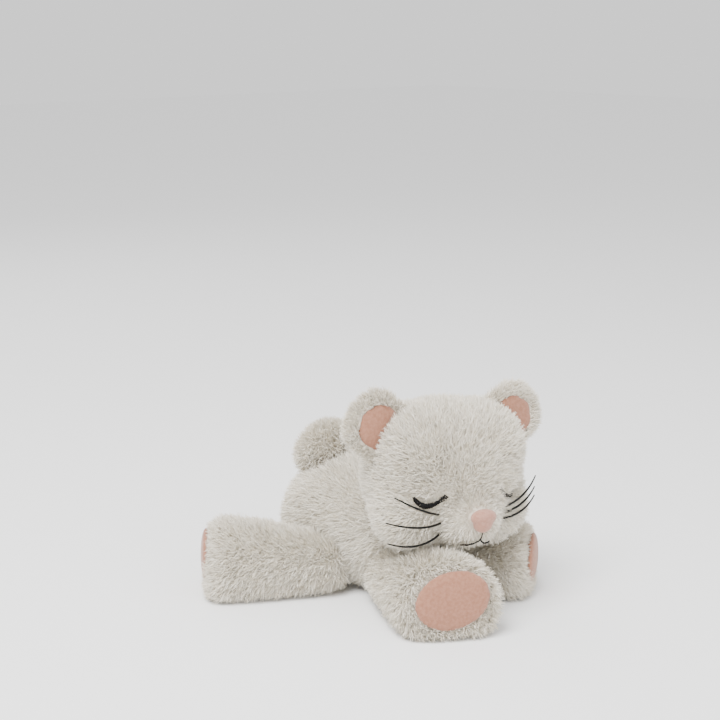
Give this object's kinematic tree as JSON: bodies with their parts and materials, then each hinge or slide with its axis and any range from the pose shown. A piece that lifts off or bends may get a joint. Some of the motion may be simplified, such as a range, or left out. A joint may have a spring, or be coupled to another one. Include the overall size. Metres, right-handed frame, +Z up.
{
  "type": "plush cat",
  "caption": "Lying stuffed toy cat in white fur cloth, with pink paw pads and ear linings, closed embroidered eyes and a tail over its rump.",
  "frame": {"origin": "on the floor under the middle of the torso, on the belly's flat resting face", "axes": "+Z up, the torso runs along Y and the cat faces -Y, so +X is the cat's left side"},
  "size_m": [0.3002, 0.267, 0.1834],
  "materials": {
    "fur_plush": "matte",
    "pink_plush": "matte",
    "black_thread": "satin",
    "black_bristle": "gloss",
    "polyester_fill": "matte"
  },
  "bodies": {
    "torso": {"torso_belly_panel": "fur_plush", "torso_back_left_panel": "fur_plush", "torso_back_right_panel": "fur_plush", "torso_stuffing": "polyester_fill"},
    "neck": {"neck_stuffing": "polyester_fill"},
    "head": {"head_face_panel": "fur_plush", "head_chin_panel": "fur_plush", "head_left_panel": "fur_plush", "head_right_panel": "fur_plush", "head_gusset_panel": "fur_plush", "head_stuffing": "polyester_fill", "nose_patch": "pink_plush", "left_eye_stitch": "black_thread", "right_eye_stitch": "black_thread", "mouth_stitch": "black_thread", "left_upper_whisker": "black_bristle", "left_middle_whisker": "black_bristle", "left_lower_whisker": "black_bristle", "right_upper_whisker": "black_bristle", "right_middle_whisker": "black_bristle", "right_lower_whisker": "black_bristle"},
    "right_ear": {"right_ear_back": "fur_plush", "right_ear_lining": "pink_plush"},
    "left_ear": {"left_ear_back": "fur_plush", "left_ear_lining": "pink_plush"},
    "tail": {"tail_back_panel": "fur_plush", "tail_front_panel": "fur_plush", "tail_stuffing": "polyester_fill"},
    "right_arm": {"right_arm_upper_panel": "fur_plush", "right_arm_under_panel": "fur_plush", "right_arm_stuffing": "polyester_fill", "right_arm_paw_pad": "pink_plush"},
    "left_arm": {"left_arm_upper_panel": "fur_plush", "left_arm_under_panel": "fur_plush", "left_arm_stuffing": "polyester_fill", "left_arm_paw_pad": "pink_plush"},
    "right_leg": {"right_leg_upper_panel": "fur_plush", "right_leg_under_panel": "fur_plush", "right_leg_stuffing": "polyester_fill", "right_leg_sole_pad": "pink_plush"},
    "left_leg": {"left_leg_upper_panel": "fur_plush", "left_leg_under_panel": "fur_plush", "left_leg_stuffing": "polyester_fill", "left_leg_sole_pad": "pink_plush"}
  },
  "joints": [
    {"name": "head_turn", "type": "hinge", "parent": "torso", "child": "neck", "pos_m": [0, -0.082, 0.105], "axis": [0, 0, 1], "range_deg": [-15, 15], "stiffness_Nm_per_rad": 0.1},
    {"name": "head_lift", "type": "hinge", "parent": "neck", "child": "head", "pos_m": [0, -0.082, 0.105], "axis": [-0.9646, 0.2585, 0.0523], "range_deg": [0, 15]},
    {"name": "right_arm_swing", "type": "hinge", "parent": "torso", "child": "right_arm", "pos_m": [-0.024, -0.052, 0.024], "axis": [0, 0, 1], "range_deg": [-20, 5]},
    {"name": "left_arm_swing", "type": "hinge", "parent": "torso", "child": "left_arm", "pos_m": [0.029, -0.072, 0.024], "axis": [0, 0, 1], "range_deg": [-5, 20]},
    {"name": "right_leg_swing", "type": "hinge", "parent": "torso", "child": "right_leg", "pos_m": [-0.055, 0.001, 0.023], "axis": [0, 0, 1], "range_deg": [-15, 15]},
    {"name": "left_leg_swing", "type": "hinge", "parent": "torso", "child": "left_leg", "pos_m": [0.055, 0.001, 0.023], "axis": [0, 0, 1], "range_deg": [-15, 15]},
    {"name": "tail_lift", "type": "hinge", "parent": "torso", "child": "tail", "pos_m": [0.03, 0.084, 0.058], "axis": [-1, 0, 0], "range_deg": [0, 30]},
    {"name": "right_ear_fold", "type": "hinge", "parent": "head", "child": "right_ear", "pos_m": [-0.04662, -0.06951, 0.1455], "axis": [-0.6209, 0.1664, -0.766], "range_deg": [-20, 20], "stiffness_Nm_per_rad": 0.02},
    {"name": "left_ear_fold", "type": "hinge", "parent": "head", "child": "left_ear", "pos_m": [0.05045, -0.09552, 0.14023], "axis": [-0.5401, 0.1447, 0.829], "range_deg": [-20, 20], "stiffness_Nm_per_rad": 0.02}
  ]
}
